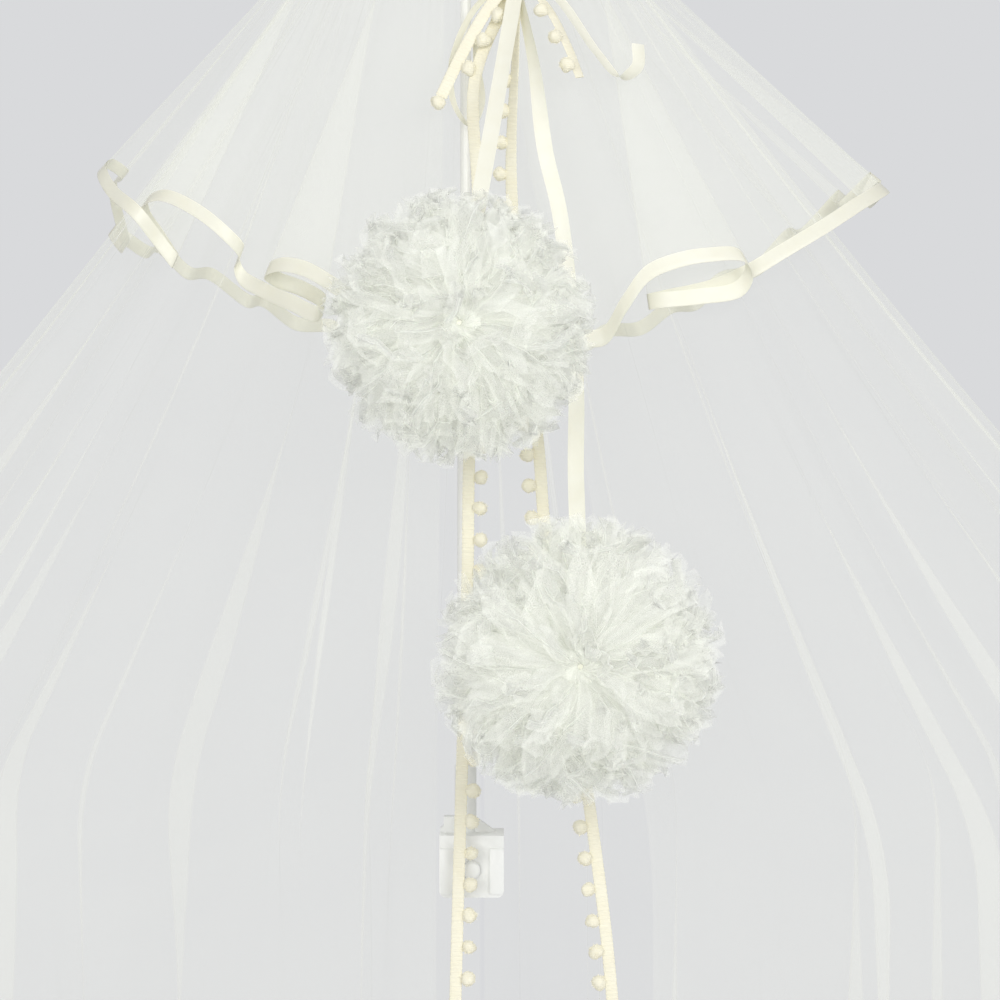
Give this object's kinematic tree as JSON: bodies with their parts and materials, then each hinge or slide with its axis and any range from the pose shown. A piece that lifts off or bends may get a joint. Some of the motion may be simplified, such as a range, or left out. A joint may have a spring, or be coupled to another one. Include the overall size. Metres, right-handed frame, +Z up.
{
  "type": "bed crown canopy",
  "caption": "Tulle crown canopy for a cot: clamp, telescopic pole and ring with parted drape, bound flounce, bow, pompom trims and two hanging pompoms.",
  "frame": {"origin": "middle of the clamp's seat, where it rests on the top edge of the headboard", "axes": "+Z up along the pole, -Y towards the front that carries the bow and pompoms, +X to the viewer's right"},
  "size_m": [1.4843, 0.7183, 1.6174],
  "materials": {
    "white_plastic": "satin",
    "white_enamel": "gloss",
    "brass": "satin",
    "zinc": "satin",
    "rubber": "matte",
    "tulle": "matte",
    "satin": "satin",
    "braid": "matte",
    "pompom_tulle": "matte"
  },
  "bodies": {
    "clamp": {"clamp_body": "white_plastic", "thread_insert": "brass", "seat_pad": "rubber", "rear_jaw_pad": "rubber"},
    "pad": {"pressure_pad": "rubber"},
    "screw": {"clamp_screw": "white_plastic"},
    "socket_screw": {"socket_thumb_screw": "white_plastic"},
    "lower_pole": {"lower_pole": "white_enamel", "pole_collar": "white_plastic"},
    "collar_screw": {"collar_thumb_screw": "white_plastic"},
    "canopy": {"upper_pole": "white_enamel", "pole_plug": "white_plastic", "hoop_head": "white_plastic", "hoop": "white_enamel", "hoop_screw": "zinc", "drape_casing": "tulle", "drape_left": "tulle", "drape_right": "tulle", "drape_hem_left": "satin", "drape_hem_right": "satin", "flounce": "tulle", "flounce_binding": "satin", "bow_backing": "satin", "bow_knot": "satin", "bow_loop_left": "satin", "bow_loop_right": "satin", "bow_hanging_loop": "satin", "bow_trim_tail_left": "braid", "bow_satin_tail_right": "satin", "bow_trim_tail_right": "braid"},
    "trims": {"trim_left": "braid", "trim_right": "braid"},
    "lower_pompom": {"ribbon_lower": "satin", "pompom_lower": "pompom_tulle", "pompom_lower_tie": "satin"},
    "upper_pompom": {"ribbon_upper": "satin", "pompom_upper": "pompom_tulle", "pompom_upper_tie": "satin"}
  },
  "joints": [
    {"name": "pad_travel", "type": "slide", "parent": "clamp", "child": "pad", "axis": [0, -1, 0], "range_m": [0, 0.0032]},
    {"name": "screw_turn", "type": "hinge", "parent": "pad", "child": "screw", "pos_m": [0, -0.02, -0.0195], "axis": [0, -1, 0], "range_deg": [0, 576]},
    {"name": "socket_screw_turn", "type": "hinge", "parent": "clamp", "child": "socket_screw", "pos_m": [-0.005, 0.01, 0.0408], "axis": [0, 1, 0], "range_deg": [0, 360]},
    {"name": "pole_swivel", "type": "hinge", "parent": "clamp", "child": "lower_pole", "pos_m": [-0.005, 0, 0.05], "axis": [0, 0, 1], "range_deg": [-8, 8]},
    {"name": "collar_screw_turn", "type": "hinge", "parent": "lower_pole", "child": "collar_screw", "pos_m": [-0.005, 0.01, 0.40615], "axis": [0, 1, 0], "range_deg": [0, 360]},
    {"name": "pole_height", "type": "slide", "parent": "lower_pole", "child": "canopy", "axis": [0, 0, 1], "range_m": [-0.08, 0.13]},
    {"name": "trims_swing", "type": "hinge", "parent": "canopy", "child": "trims", "pos_m": [0.035, -0.0363, 0.669], "axis": [-1, 0, 0], "range_deg": [0, 15]},
    {"name": "lower_pompom_swing", "type": "hinge", "parent": "trims", "child": "lower_pompom", "pos_m": [0.035, -0.0363, 0.669], "axis": [-1, 0, 0], "range_deg": [0, 25]},
    {"name": "upper_pompom_swing", "type": "hinge", "parent": "lower_pompom", "child": "upper_pompom", "pos_m": [0.035, -0.0363, 0.669], "axis": [-1, 0, 0], "range_deg": [0, 30]}
  ],
  "couplings": [
    {"joint": "screw_turn", "follows": "pad_travel", "rad_per_m": 3141.6}
  ]
}
